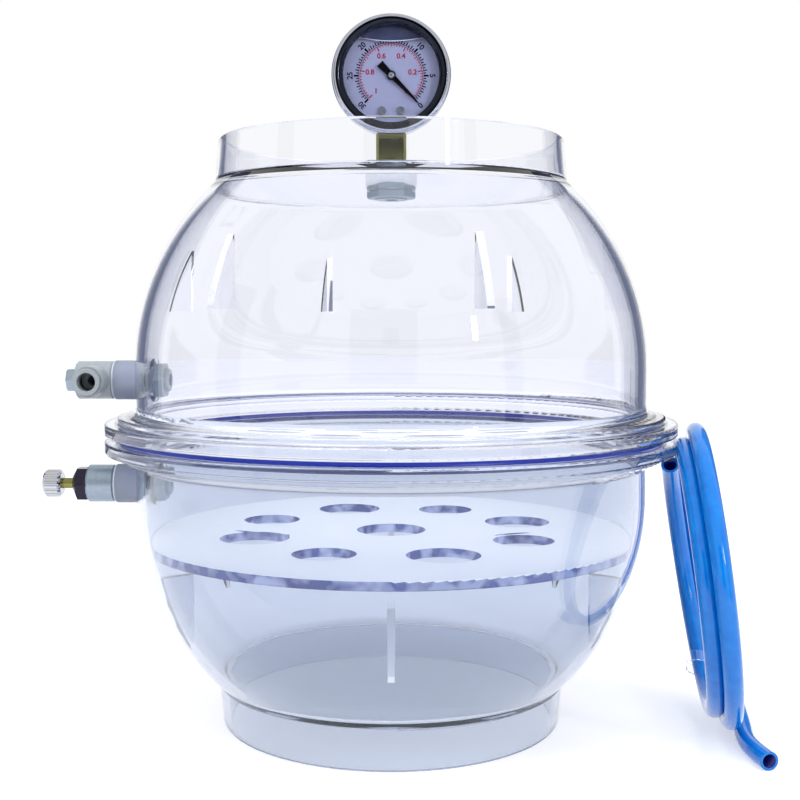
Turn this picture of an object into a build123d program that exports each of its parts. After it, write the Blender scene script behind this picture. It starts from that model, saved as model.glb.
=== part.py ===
"""Vacuum desiccator chamber: two clear moulded halves on a blue O-ring, a perforated shelf, a vacuum gauge on
the top plate, a swivel hose port, a needle vent valve and a loose coil of blue hose.

Millimetres, +Z up. The origin is on the vertical axis of the chamber, on the surface that the foot ring
stands on. The gauge dial faces -Y, and both side fittings stand out along -X."""

import os
from math import atan2, cos, degrees, hypot, pi, radians, sin, sqrt, tan

from build123d import *

os.makedirs("parts", exist_ok=True)

# --- Chamber halves: one moulding, used the right way up as the lid and upside down as the bowl
body_radius = 145.0  # outside of the wall, and of the spherical shoulder
wall = 5.0
straight_height = 36.0  # from the seal plane to the centre of the shoulder's sphere
end_height = 142.5  # from the seal plane to the outer face of the end plate
half_height = 165.0  # from the seal plane to the rim of the collar
collar_root_height = end_height - 1.0  # where the collar leaves the shoulder
collar_root_radius = sqrt(body_radius**2 - (collar_root_height - straight_height) ** 2)
collar_taper = 2.0  # from its root to its rim
collar_rim_radius = collar_root_radius - collar_taper
collar_wall = 4.0
collar_rim_round = 0.9
end_corner_round = 10.0
inner_radius = body_radius - wall
plate_inner_height = end_height - wall

# --- Flange and its seal
flange_width = 17.0  # from the wall to the rim
flange_radius = body_radius + flange_width
flange_rim = 6.5  # thickness of the outer step
flange_hub = 10.0  # thickness beside the wall
flange_step_width = 7.0
flange_flare = 5.0  # round between the flange and the wall
flange_edge_round = 1.2
seal_gap = 3.0  # between the two flange faces
seal_inset = 10.5  # from the rim of the flange to the seal's centre line
seal_radius = flange_radius - seal_inset
seal_cord = 6.0
seal_groove_depth = 3.1
seal_side_clearance = 0.2

# --- Fins inside each half, which stiffen its shoulder
rib_count = 6
rib_radius = 121.0  # from the axis to the straight edge of a fin
rib_height = 70.0  # from the seal plane to the fin's end
rib_thickness = 4.0
lid_rib_angle = -70.0
bowl_rib_angle = -90.0

# --- Shelf, which rests on the narrowing wall of the bowl
shelf_drop = 62.0  # from the seal plane to the underside
shelf_thickness = 5.0
shelf_edge_round = 0.8
shelf_edge_gap = 0.15  # left between its rounded edge and the wall
shelf_centre_hole = 40.0
shelf_hole_circle = 81.0
shelf_large_hole = 39.0
shelf_small_hole = 34.0
shelf_holes_each = 4
shelf_first_hole_angle = 19.5

# --- Side ports, one in each half, along -X
port_offset = 30.0  # from the seal plane to the port's axis
boss_radius = 11.3
boss_length = 13.5  # out from the wall
boss_reach = body_radius + boss_length
pad_radius = 12.5
pad_depth = 7.5  # from the outside of the wall in to the flat pad
pad_reach = body_radius - pad_depth
thread_radius = 6.5
thread_clearance = 0.2
gasket_thickness = 1.0
gasket_radius = 10.8
gasket_inset = 0.5  # from the flats of the bush to the edge of its gasket
nut_thickness = 6.5
nut_across_flats = 19.0
nut_chamfer = 0.8
thread_tail = 2.5  # of the thread, past the nut
thread_end = pad_reach - nut_thickness - thread_tail
thread_chamfer = 0.6
seat_clearance = 0.1  # between pieces that turn or slide on each other

# --- Swivel elbow of the hose port
elbow_radius = 10.9
elbow_length = 21.0
elbow_chamfer = 0.8
elbow_bore_clearance = 0.08
bolt_head_across_flats = 12.4
bolt_head_length = 6.0
bolt_head_chamfer = 1.0
bolt_bore_radius = 3.5
cross_bore_radius = 3.0  # from the bolt's bore out to the barrel
barrel_radius = 9.0
barrel_round = 0.9
barrel_reach = 22.0  # from the port's axis to the mouth of the barrel
hose_diameter = 10.0
tube_clearance = 0.1
collet_chamber_radius = 7.1
collet_chamber_play = 0.05  # round the grip and the seal
collet_mouth_length = 1.5
collet_chamber_end = 12.0  # from the port's axis
tube_stop = 9.0  # from the port's axis
release_sleeve_radius = 6.1
release_flange_radius = 7.6
release_flange_thickness = 1.6
release_round = 0.5
release_clearance = 0.15
release_travel = 1.5
release_gap = 1.8  # from the mouth of the barrel to the flange of the ring
release_sleeve_length = 4.8
grip_thickness = 1.6
grip_gap = 0.2
elbow_seal_cord = 1.8
elbow_seal_round = 0.8

# --- Needle vent valve
vent_body_radius = 10.8
vent_body_length = 16.0
vent_body_round = 1.0
bonnet_across_flats = 18.0
bonnet_length = 8.5
bonnet_nose_radius = 5.0
bonnet_cone_length = 3.2
bonnet_cone_margin = 0.5  # between the cone's wide end and the corners of the hexagon
stem_radius = 3.05
stem_clearance = 0.05
needle_tip_radius = 1.3
needle_length = 5.0
needle_depth = 8.0  # from the gasket in to the needle's point
needle_shoulder = 0.6
needle_gap = 1.0  # before the tip, down to the seat
vent_seat_radius = 2.0
vent_hole_radius = 1.5
vent_hole_setback = 4.0  # from the gasket
stem_seal_length = 2.0
stem_seal_radius = 5.0
knob_radius = 8.0
knob_length = 10.2
knob_gap = 6.7  # from the bonnet to the knob
knob_flutes = 18
knob_flute_radius = 0.75
knob_chamfer = 1.6
knob_socket_depth = 6.0
stem_end_gap = 0.2

# --- Gauge port in the top plate
bush_across_flats = 25.5
bush_head = 8.5
bush_chamfer = 1.0
bush_stem_radius = 9.0
bush_stem_clearance = 0.2
bush_nut_across_flats = 24.0
bush_nut_thickness = 4.0
bush_stem_tail = 0.5  # below the nut
bush_bore_radius = 3.5
bush_socket_depth = 13.5
shank_radius = 6.5
shank_length = 12.0
shank_clearance = 0.1

# --- Gauge
case_radius = 31.0
case_wall = 1.0
case_front = 13.5  # along the dial's axis, from the stem's axis
case_depth = 24.5
case_back_round = 3.0
bezel_radius = 33.2
bezel_stem_gap = 0.5  # between the stem's square and the back of the bezel
bezel_overhang = 6.0  # from the case's edge to the front of the bezel
bezel_lip_radius = 28.6
bezel_lip_thickness = 2.4
bezel_round = 3.2
bezel_back_round = 1.0
bezel_lip_bevel = 0.9
bezel_lip_land = 0.8
window_radius = 30.2
window_thickness = 3.0
dial_radius = 29.6
dial_thickness = 0.8
dial_setback = 2.0  # behind the edge of the case
dial_hole_radius = 2.5
window_gasket_inner = 27.4
socket_width = 17.0
socket_square_height = 17.4  # from the bush to the case
socket_corner = 1.5
neck_radius = 6.0
block_width = 14.0
block_depth = 7.0
block_top = -14.0  # measured from the dial's centre
block_front = 1.0
block_case_gap = 1.5
socket_duct_radius = 2.0
dial_screw_spacing = 10.6
dial_screw_drop = 19.3
dial_screw_head = 2.3
dial_screw_head_height = 1.2
dial_screw_radius = 1.0
dial_screw_slot = 0.6
dial_screw_turn = 35.0
dial_screw_end_gap = 0.2
plug_radius = 5.0
plug_head_radius = 7.0
plug_head = 1.5
plug_inside = 1.2
plug_height = 13.0
case_fit = 0.2

# --- Gauge movement
movement_plate = 1.2
movement_width = 22.0
movement_top = 7.0
movement_bottom = -24.0
movement_spacing = 3.6  # between the two plates
pillar_radius = 1.5
pillar_inset = 3.0
pivot_radius = 0.6
pivot_clearance = 0.1
dial_post_radius = 2.2
gear_module = 0.3
pinion_teeth = 10
sector_gear_teeth = 90  # teeth on the full circle of the sector
sector_half_angle = 22.0
sector_edge_angle = 1.0  # left bare at each end of the teeth
sector_swing = 30.0
tooth_share = 0.32  # thickness of a tooth at the pitch line, as a share of the pitch
tooth_dedendum = 1.25  # in modules
tooth_root_overlap = 0.1
gear_thickness = 1.2
sector_hub_radius = 2.2
sector_tail = 6.3
sector_tail_width = 2.4
tube_radius = 21.0  # centre line of the C-shaped tube
tube_depth = 6.0
tube_breadth = 2.6
tube_wall = 0.5
tube_flat = 0.05  # half the flat left between the rounds of the tube
tube_tip_margin = 0.3
tube_start_angle = 252.0
tube_sweep = 292.0
link_width = 2.0
link_thickness = 0.6
link_gap = 0.15
pointer_length = 22.5
pointer_point = 6.0
pointer_tail = 9.0
pointer_width = 1.5
pointer_tail_width = 4.4
pointer_thickness = 0.4
pointer_rest_angle = -45.0
pointer_hub_radius = 2.6
pointer_above_dial = 1.6

# --- Loose coil of hose, standing on its edge against the flange
coil_radius = 84.5  # centre line of the outer turn
coil_turns = 2.43
coil_step_in = 7.1  # each turn is this much smaller than the one outside it
coil_step_across = 7.7
coil_flange_gap = 10.3  # from the flange's rim to the coil's centre
coil_centre_x = flange_radius + coil_flange_gap
coil_centre_y = -42.5
coil_lean = 8.5
coil_yaw = 9.4
coil_flange_clearance = 0.6
coil_flange_margin = 4.0
coil_section_play = 0.3
tail_route = [
    (193.6, -44.0, 5.0),
    (190.4, -62.0, 5.0),
    (190.0, -79.0, 5.0),
    (193.2, -95.0, 5.0),
]
tail_arc_share = 0.45
tie_angle = 212.0
tie_width = 7.0
tie_thickness = 0.8
tie_play = 0.5

# --- Places worked out from the sizes above
seal_height = half_height  # height of the seal plane over the floor
hose_port_z = seal_height + port_offset
vent_port_z = seal_height - port_offset
plate_top = seal_height + end_height
plate_bottom = plate_top - wall
bush_seat = plate_top + gasket_thickness
bush_top = bush_seat + bush_head
square_top = bush_top + socket_square_height
gauge_z = square_top + seat_clearance + case_radius
gauge_front = Plane(origin=(0, 0, gauge_z), x_dir=(1, 0, 0), z_dir=(0, -1, 0))
gauge_section = Plane(origin=(0, 0, gauge_z), x_dir=(1, 0, 0), z_dir=(0, 0, -1))
gauge_axis = Axis((0, 0, gauge_z), (0, -1, 0))


def port_face(height):
    """Plane across a side port, facing out along -X; its offset is the distance from the chamber's axis."""
    return Plane(origin=(0, 0, height), x_dir=(0, 1, 0), z_dir=(-1, 0, 0))


def port_section(height):
    """Plane along a side port: its x runs out from the chamber's axis, its y is the height over the port."""
    return Plane(origin=(0, 0, height), x_dir=(-1, 0, 0), z_dir=(0, 1, 0))


def port_axis(height):
    return Axis((0, 0, height), (-1, 0, 0))


def turn(points, plane, axis, mode=Mode.ADD):
    """Adds a turned shape to the open part: a closed outline on the plane, revolved about the axis."""
    with BuildSketch(plane) as outline:
        with BuildLine():
            Polyline(*points, close=True)
        make_face()
    revolve(outline.sketch, axis=axis, mode=mode)


def washer(plane, outer, inner, thickness):
    """Adds a flat ring to the open part."""
    with BuildSketch(plane) as ring:
        Circle(outer)
        Circle(inner, mode=Mode.SUBTRACT)
    extrude(ring.sketch, amount=thickness)


def hexagon(plane, across_flats, thickness):
    """Adds a hexagonal prism to the open part, two of its corners level on the plane's x."""
    with BuildSketch(plane) as hexagon_face:
        RegularPolygon(across_flats / 2, 6, major_radius=False)
    extrude(hexagon_face.sketch, amount=thickness)


def drill(plane, radius, depth):
    """Cuts a round hole into the open part, along the plane's normal."""
    with BuildSketch(plane) as hole_face:
        Circle(radius)
    extrude(hole_face.sketch, amount=depth, mode=Mode.SUBTRACT)


def round_corner(sketch, place, radius):
    """Rounds the corner of a sketch that lies nearest to a place."""
    corner = sketch.vertices().sort_by_distance((place[0], place[1], 0))[0]
    fillet(corner, radius)


# --- One moulded half, seal plane at Z=0, end plate up
def moulded_half(first_rib_angle):
    hub_radius = flange_radius - flange_step_width
    face = seal_gap / 2
    rim_top = face + flange_rim
    hub_top = face + flange_hub
    plate_corner = sqrt(inner_radius**2 - (plate_inner_height - straight_height) ** 2)
    outer_angle = degrees(atan2(collar_root_height - straight_height, collar_root_radius))
    inner_angle = degrees(atan2(plate_inner_height - straight_height, plate_corner))
    collar_slope = collar_taper / (half_height - collar_root_height)
    recess_radius = collar_rim_radius - collar_wall
    recess_root_radius = recess_radius + collar_slope * (half_height - end_height)
    with BuildPart() as half:
        with BuildSketch(Plane.XZ) as section:
            with BuildLine():
                Polyline(
                    (inner_radius, straight_height),
                    (inner_radius, face),
                    (flange_radius, face),
                    (flange_radius, rim_top),
                    (hub_radius, rim_top),
                    (hub_radius, hub_top),
                    (body_radius, hub_top),
                    (body_radius, straight_height),
                )
                CenterArc((0, straight_height), body_radius, 0, outer_angle)
                Polyline(
                    (collar_root_radius, collar_root_height),
                    (collar_rim_radius, half_height),
                    (recess_radius, half_height),
                    (recess_root_radius, end_height),
                    (0, end_height),
                    (0, plate_inner_height),
                    (plate_corner, plate_inner_height),
                )
                CenterArc((0, straight_height), inner_radius, 0, inner_angle)
            make_face()
            round_corner(section, (body_radius, hub_top), flange_flare)
            round_corner(section, (plate_corner, plate_inner_height), end_corner_round)
            round_corner(section, (collar_rim_radius, half_height), collar_rim_round)
            round_corner(section, (recess_radius, half_height), collar_rim_round)
            round_corner(section, (recess_root_radius, end_height), collar_rim_round)
            round_corner(section, (flange_radius, face), flange_edge_round)
            round_corner(section, (flange_radius, rim_top), flange_edge_round)
            round_corner(section, (hub_radius, hub_top), flange_edge_round)
            round_corner(section, (hub_radius, rim_top), flange_edge_round)
        revolve(axis=Axis.Z)

        # Fins: a straight edge towards the axis, a flat end towards the seal, the back sunk to mid-wall
        back_radius = body_radius - wall / 2
        rib_top = straight_height + sqrt(back_radius**2 - rib_radius**2)
        rib_back = sqrt(back_radius**2 - (rib_height - straight_height) ** 2)
        rib_back_angle = degrees(atan2(rib_height - straight_height, rib_back))
        rib_sweep = degrees(atan2(rib_top - straight_height, rib_radius)) - rib_back_angle
        for rib_number in range(rib_count):
            rib_angle = first_rib_angle + 360 / rib_count * rib_number
            rib_plane = Plane(
                origin=(0, 0, 0),
                x_dir=(cos(radians(rib_angle)), sin(radians(rib_angle)), 0),
                z_dir=(sin(radians(rib_angle)), -cos(radians(rib_angle)), 0),
            )
            with BuildSketch(rib_plane):
                with BuildLine():
                    Line((rib_radius, rib_top), (rib_radius, rib_height))
                    Line((rib_radius, rib_height), (rib_back, rib_height))
                    CenterArc((0, straight_height), back_radius, rib_back_angle, rib_sweep)
                make_face()
            extrude(amount=rib_thickness / 2, both=True)

        # Port boss outside the wall, and a flat pad inside it
        port_root = body_radius - wall / 2
        with Locations((-(port_root + boss_reach) / 2, 0, port_offset)):
            Cylinder(boss_radius, boss_reach - port_root, rotation=(0, 90, 0))
        with Locations((-(port_root + pad_reach) / 2, 0, port_offset)):
            Cylinder(pad_radius, port_root - pad_reach, rotation=(0, 90, 0))
        with Locations((-(boss_reach + pad_reach) / 2, 0, port_offset)):
            Cylinder(thread_radius + thread_clearance, 2 * wall + boss_reach - pad_reach, rotation=(0, 90, 0),
                     mode=Mode.SUBTRACT)
    return half.part


lid_moulding = moulded_half(lid_rib_angle).moved(Location((0, 0, seal_height)))
bowl_moulding = mirror(moulded_half(bowl_rib_angle), about=Plane.XY).moved(Location((0, 0, seal_height)))

# --- Bowl: the moulding upside down, with the groove for the seal
bowl_face = seal_height - seal_gap / 2
groove_floor = bowl_face - seal_groove_depth
groove_half_width = seal_cord / 2 + seal_side_clearance
with BuildPart() as lower_bowl:
    add(bowl_moulding)
    with BuildSketch(Plane.XY.offset(groove_floor)):
        Circle(seal_radius + groove_half_width)
        Circle(seal_radius - groove_half_width, mode=Mode.SUBTRACT)
    extrude(amount=seal_groove_depth, mode=Mode.SUBTRACT)
lower_bowl.part.label = "lower_bowl"
export_step(lower_bowl.part, "parts/lower_bowl.step")

# --- Seal: an O-ring that stands out of the groove by the gap between the flanges
with BuildPart() as flange_seal:
    with BuildSketch(Plane.XZ):
        with Locations((seal_radius, groove_floor + seal_cord / 2)):
            Circle(seal_cord / 2)
    revolve(axis=Axis.Z)
flange_seal.part.label = "flange_seal"
export_step(flange_seal.part, "parts/flange_seal.step")

# --- Shelf: a disc with a centre hole and a ring of holes of two sizes
shelf_bottom = seal_height - shelf_drop
shelf_rest = shelf_drop - straight_height - shelf_edge_round
shelf_radius = shelf_edge_round + sqrt((inner_radius - shelf_edge_round) ** 2 - shelf_rest**2) - shelf_edge_gap
shelf_hole_pitch = 360 / shelf_holes_each
with BuildPart() as shelf_plate:
    with BuildSketch(Plane.XY.offset(shelf_bottom)):
        Circle(shelf_radius)
        Circle(shelf_centre_hole / 2, mode=Mode.SUBTRACT)
        with PolarLocations(shelf_hole_circle, shelf_holes_each, start_angle=shelf_first_hole_angle):
            Circle(shelf_large_hole / 2, mode=Mode.SUBTRACT)
        small_start = shelf_first_hole_angle + shelf_hole_pitch / 2
        with PolarLocations(shelf_hole_circle, shelf_holes_each, start_angle=small_start):
            Circle(shelf_small_hole / 2, mode=Mode.SUBTRACT)
    extrude(amount=shelf_thickness)
    rims = shelf_plate.edges().filter_by(GeomType.CIRCLE)
    fillet(rims.filter_by(lambda edge: edge.radius > shelf_radius - 1), shelf_edge_round)
shelf_plate.part.label = "shelf_plate"
export_step(shelf_plate.part, "parts/shelf_plate.step")

# --- Dome: the moulding the right way up, with the gauge's hole in its top plate
with BuildPart() as upper_dome:
    add(lid_moulding)
    drill(Plane.XY.offset(plate_bottom), bush_stem_radius + bush_stem_clearance, wall)
upper_dome.part.label = "upper_dome"
export_step(upper_dome.part, "parts/upper_dome.step")

# --- Gauge port: gasket, hexagonal bush and the nut under the plate
nut_bottom = plate_bottom - bush_nut_thickness
bush_bottom = nut_bottom - bush_stem_tail
with BuildPart() as gauge_port_gasket:
    gasket_rim = bush_across_flats / 2 - gasket_inset
    washer(Plane.XY.offset(plate_top), gasket_rim, bush_stem_radius + bush_stem_clearance, gasket_thickness)
gauge_port_gasket.part.label = "gauge_port_gasket"
export_step(gauge_port_gasket.part, "parts/gauge_port_gasket.step")

with BuildPart() as gauge_port_bush:
    hexagon(Plane.XY.offset(bush_seat), bush_across_flats, bush_head)
    chamfer(gauge_port_bush.edges().group_by(Axis.Z)[-1], bush_chamfer)
    with BuildSketch(Plane.XY.offset(bush_bottom)):
        Circle(bush_stem_radius)
    extrude(amount=bush_seat - bush_bottom)
    drill(Plane.XY.offset(bush_top - bush_socket_depth), shank_radius + shank_clearance, bush_socket_depth)
    drill(Plane.XY.offset(bush_bottom), bush_bore_radius, bush_top - bush_bottom)
gauge_port_bush.part.label = "gauge_port_bush"
export_step(gauge_port_bush.part, "parts/gauge_port_bush.step")

with BuildPart() as gauge_port_nut:
    hexagon(Plane.XY.offset(nut_bottom), bush_nut_across_flats, bush_nut_thickness)
    chamfer(gauge_port_nut.edges().group_by(Axis.Z)[0], nut_chamfer)
    drill(Plane.XY.offset(nut_bottom), bush_stem_radius + thread_clearance, bush_nut_thickness)
gauge_port_nut.part.label = "gauge_port_nut"
export_step(gauge_port_nut.part, "parts/gauge_port_nut.step")

# --- Gauge socket: threaded shank, square for the spanner, neck through the case, block inside it
block_bottom = -case_radius + case_wall + block_case_gap
neck_top = gauge_z + block_bottom
with BuildPart() as gauge_socket:
    with BuildSketch(Plane.XY.offset(bush_top - shank_length)):
        Circle(shank_radius)
    extrude(amount=shank_length)
    with BuildSketch(Plane.XY.offset(bush_top)) as square_face:
        Rectangle(socket_width, socket_width)
        chamfer(square_face.vertices(), socket_corner)
    extrude(amount=square_top - bush_top)
    with BuildSketch(Plane.XY.offset(square_top)):
        Circle(neck_radius)
    extrude(amount=neck_top - square_top)
    with BuildSketch(gauge_front.offset(block_front - block_depth)):
        with Locations((0, (block_bottom + block_top) / 2)):
            Rectangle(block_width, block_top - block_bottom)
    extrude(amount=block_depth)
    drill(Plane.XY.offset(bush_top - shank_length), socket_duct_radius, neck_top - bush_top + shank_length)
gauge_socket.part.label = "gauge_socket"
export_step(gauge_socket.part, "parts/gauge_socket.step")

# --- Gauge case: a drawn cup with a hole for the neck and one for the filling plug
case_back = case_front - case_depth
with BuildPart() as gauge_case:
    with BuildSketch(gauge_front.offset(case_back)):
        Circle(case_radius)
    extrude(amount=case_depth)
    fillet(gauge_case.edges().sort_by(Axis.Y)[-1], case_back_round)
    offset(amount=-case_wall, openings=gauge_case.faces().sort_by(Axis.Y)[0])
    drill(Plane.XY.offset(square_top), neck_radius + case_fit, neck_top - square_top)
    with BuildSketch(gauge_front.offset(case_back)):
        with Locations((0, plug_height)):
            Circle(plug_radius + case_fit / 2)
    extrude(amount=case_wall, mode=Mode.SUBTRACT)
gauge_case.part.label = "gauge_case"
export_step(gauge_case.part, "parts/gauge_case.step")

with BuildPart() as gauge_fill_plug:
    with BuildSketch(gauge_front.offset(case_back - plug_head)):
        with Locations((0, plug_height)):
            Circle(plug_head_radius)
    extrude(amount=plug_head)
    fillet(gauge_fill_plug.edges().sort_by(Axis.Y)[-1], plug_head / 2)
    with BuildSketch(gauge_front.offset(case_back)):
        with Locations((0, plug_height)):
            Circle(plug_radius)
    extrude(amount=case_wall + plug_inside)
gauge_fill_plug.part.label = "gauge_fill_plug"
export_step(gauge_fill_plug.part, "parts/gauge_fill_plug.step")

# --- Bezel: rolled over the case, its lip holds the window
bezel_skirt = socket_width / 2 + bezel_stem_gap
bezel_front = case_front + bezel_overhang
lip_back = bezel_front - bezel_lip_thickness
window_back = lip_back - window_thickness
sleeve_bore = case_radius + case_fit
with BuildPart() as gauge_bezel:
    with BuildSketch(gauge_section) as bezel_outline:
        with BuildLine():
            Polyline(
                (sleeve_bore, bezel_skirt),
                (bezel_radius, bezel_skirt),
                (bezel_radius, bezel_front),
                (bezel_lip_radius + bezel_lip_bevel, bezel_front),
                (bezel_lip_radius, lip_back + bezel_lip_land),
                (bezel_lip_radius, lip_back),
                (window_radius + case_fit, lip_back),
                (window_radius + case_fit, window_back),
                (sleeve_bore, window_back),
                close=True,
            )
        make_face()
        round_corner(bezel_outline, (bezel_radius, bezel_front), bezel_round)
        round_corner(bezel_outline, (bezel_radius, bezel_skirt), bezel_back_round)
    revolve(axis=gauge_axis)
gauge_bezel.part.label = "gauge_bezel"
export_step(gauge_bezel.part, "parts/gauge_bezel.step")

with BuildPart() as gauge_window:
    with BuildSketch(gauge_front.offset(window_back)):
        Circle(window_radius)
    extrude(amount=window_thickness)
gauge_window.part.label = "gauge_window"
export_step(gauge_window.part, "parts/gauge_window.step")

# --- Dial and the rubber ring between it and the window
dial_front = case_front - dial_setback
dial_back = dial_front - dial_thickness
with BuildPart() as gauge_window_gasket:
    turn(
        [
            (window_gasket_inner, dial_front),
            (case_radius - case_wall - case_fit, dial_front),
            (case_radius - case_wall - case_fit, case_front),
            (case_radius, case_front),
            (case_radius, window_back),
            (window_gasket_inner, window_back),
        ],
        gauge_section,
        gauge_axis,
    )
gauge_window_gasket.part.label = "gauge_window_gasket"
export_step(gauge_window_gasket.part, "parts/gauge_window_gasket.step")

screw_places = [(-dial_screw_spacing / 2, -dial_screw_drop), (dial_screw_spacing / 2, -dial_screw_drop)]
with BuildPart() as gauge_dial:
    with BuildSketch(gauge_front.offset(dial_back)):
        Circle(dial_radius)
        Circle(dial_hole_radius, mode=Mode.SUBTRACT)
        with Locations(*screw_places):
            Circle(dial_screw_radius + seat_clearance, mode=Mode.SUBTRACT)
    extrude(amount=dial_thickness)
gauge_dial.part.label = "gauge_dial"
export_step(gauge_dial.part, "parts/gauge_dial.step")

# --- Movement frame: two plates on four pillars, with two posts that carry the dial
back_plate_back = block_front
back_plate_front = back_plate_back + movement_plate
front_plate_back = back_plate_front + movement_spacing
front_plate_front = front_plate_back + movement_plate
plate_height = movement_top - movement_bottom
plate_middle = (movement_top + movement_bottom) / 2
sector_pivot = (0, -gear_module * (pinion_teeth + sector_gear_teeth) / 2)
pillar_x = movement_width / 2 - pillar_inset
pillar_places = [
    (side * pillar_x, height)
    for side in (-1, 1)
    for height in (movement_bottom + pillar_inset, movement_top - pillar_inset)
]
with BuildPart() as gauge_movement_frame:
    for plate_start in (back_plate_back, front_plate_back):
        with BuildSketch(gauge_front.offset(plate_start)):
            with Locations((0, plate_middle)):
                RectangleRounded(movement_width, plate_height, pillar_inset)
            Circle(pivot_radius + pivot_clearance, mode=Mode.SUBTRACT)
            with Locations(sector_pivot):
                Circle(pivot_radius + pivot_clearance, mode=Mode.SUBTRACT)
        extrude(amount=movement_plate)
    with BuildSketch(gauge_front.offset(back_plate_front)):
        with Locations(*pillar_places):
            Circle(pillar_radius)
    extrude(amount=movement_spacing)
    with BuildSketch(gauge_front.offset(front_plate_front)):
        with Locations(*screw_places):
            Circle(dial_post_radius)
    extrude(amount=dial_back - front_plate_front)
    with BuildSketch(gauge_front.offset(front_plate_back)):
        with Locations(*screw_places):
            Circle(dial_screw_radius + seat_clearance)
    extrude(amount=dial_back - front_plate_back, mode=Mode.SUBTRACT)
gauge_movement_frame.part.label = "gauge_movement_frame"
export_step(gauge_movement_frame.part, "parts/gauge_movement_frame.step")

dial_screw_end = front_plate_back + dial_screw_end_gap
with BuildPart() as gauge_dial_screws:
    with BuildSketch(gauge_front.offset(dial_front)):
        with Locations(*screw_places):
            Circle(dial_screw_head)
    extrude(amount=dial_screw_head_height)
    with BuildSketch(gauge_front.offset(dial_front + dial_screw_head_height / 2)):
        with Locations(*[Location((x, y, 0), (0, 0, dial_screw_turn)) for x, y in screw_places]):
            Rectangle(3 * dial_screw_head, dial_screw_slot)
    extrude(amount=dial_screw_head_height, mode=Mode.SUBTRACT)
    with BuildSketch(gauge_front.offset(dial_screw_end)):
        with Locations(*screw_places):
            Circle(dial_screw_radius)
    extrude(amount=dial_front - dial_screw_end)
gauge_dial_screws.part.label = "gauge_dial_screws"
export_step(gauge_dial_screws.part, "parts/gauge_dial_screws.step")


def gear_tooth(pitch_radius):
    """Outline of one tooth along +X, from inside its root to its tip."""
    half_thickness = tooth_share * pi * gear_module / 2
    root = pitch_radius - tooth_dedendum * gear_module
    tip = pitch_radius + gear_module
    slope = half_thickness / 2 / gear_module
    return [
        (root - tooth_root_overlap, -half_thickness - tooth_dedendum * gear_module * slope),
        (tip, -half_thickness + gear_module * slope),
        (tip, half_thickness - gear_module * slope),
        (root - tooth_root_overlap, half_thickness + tooth_dedendum * gear_module * slope),
    ]


# --- Pinion on the pointer's arbor
gear_back = back_plate_front + (movement_spacing - gear_thickness) / 2
arbor_back = back_plate_back + seat_clearance
pinion_radius = gear_module * pinion_teeth / 2
sector_radius = gear_module * sector_gear_teeth / 2
pointer_back = dial_front + pointer_above_dial
with BuildPart() as gauge_pinion:
    with BuildSketch(gauge_front.offset(gear_back)):
        Circle(pinion_radius - tooth_dedendum * gear_module)
        with PolarLocations(0, pinion_teeth, start_angle=-90):
            Polygon(*gear_tooth(pinion_radius), align=None)
    extrude(amount=gear_thickness)
    with BuildSketch(gauge_front.offset(arbor_back)):
        Circle(pivot_radius)
    extrude(amount=pointer_back - arbor_back)
gauge_pinion.part.label = "gauge_pinion"
export_step(gauge_pinion.part, "parts/gauge_pinion.step")

# --- Sector gear, at the end of its swing when the pointer shows zero
tooth_pitch_angle = 360 / sector_gear_teeth
rest_direction = 90 + sector_swing / 2
first_tooth = 90 + tooth_pitch_angle / 2
tooth_angles = [
    first_tooth + tooth_pitch_angle * number
    for number in range(-sector_gear_teeth, sector_gear_teeth)
    if abs(first_tooth + tooth_pitch_angle * number - rest_direction) < sector_half_angle - sector_edge_angle
]
sector_root = sector_radius - tooth_dedendum * gear_module
with BuildPart() as gauge_sector:
    with BuildSketch(gauge_front.offset(gear_back)):
        with BuildLine():
            pivot = Vector(*sector_pivot)
            first_edge = rest_direction - sector_half_angle
            fan = CenterArc(pivot, sector_root, first_edge, 2 * sector_half_angle)
            Line(pivot, fan @ 0)
            Line(fan @ 1, pivot)
        make_face()
        with Locations(sector_pivot):
            Circle(sector_hub_radius)
        with Locations(*[Location((sector_pivot[0], sector_pivot[1], 0), (0, 0, a)) for a in tooth_angles]):
            Polygon(*gear_tooth(sector_radius), align=None)
        with Locations((sector_pivot[0] + sector_tail / 2, sector_pivot[1])):
            SlotOverall(sector_tail + sector_tail_width, sector_tail_width)
    extrude(amount=gear_thickness)
    with BuildSketch(gauge_front.offset(arbor_back)):
        with Locations(sector_pivot):
            Circle(pivot_radius)
    extrude(amount=front_plate_front - arbor_back)
gauge_sector.part.label = "gauge_sector"
export_step(gauge_sector.part, "parts/gauge_sector.step")

# --- Bourdon tube: a flat tube bent to a C, closed by a tip that carries the link
tube_middle = block_front - block_depth / 2
tip_angle = tube_start_angle - tube_sweep
tip_place = (tube_radius * cos(radians(tip_angle)), tube_radius * sin(radians(tip_angle)))
tube_plane = Plane(
    origin=(0, 0, gauge_z),
    x_dir=(cos(radians(tube_start_angle)), 0, sin(radians(tube_start_angle))),
    z_dir=(sin(radians(tube_start_angle)), 0, -cos(radians(tube_start_angle))),
)
link_back = gear_back + gear_thickness + link_gap
with BuildPart() as gauge_bourdon_tube:
    with BuildSketch(tube_plane):
        with Locations((tube_radius, tube_middle)):
            RectangleRounded(tube_breadth, tube_depth, tube_breadth / 2 - tube_flat)
            RectangleRounded(tube_breadth - 2 * tube_wall, tube_depth - 2 * tube_wall,
                             tube_breadth / 2 - tube_wall - tube_flat, mode=Mode.SUBTRACT)
    revolve(axis=Axis((0, 0, gauge_z), (0, 1, 0)), revolution_arc=tube_sweep)
    with BuildSketch(gauge_front.offset(tube_middle - tube_depth / 2)):
        with Locations(tip_place):
            Circle(tube_breadth / 2 + tube_tip_margin)
    extrude(amount=link_back - tube_middle + tube_depth / 2)
gauge_bourdon_tube.part.label = "gauge_bourdon_tube"
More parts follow.
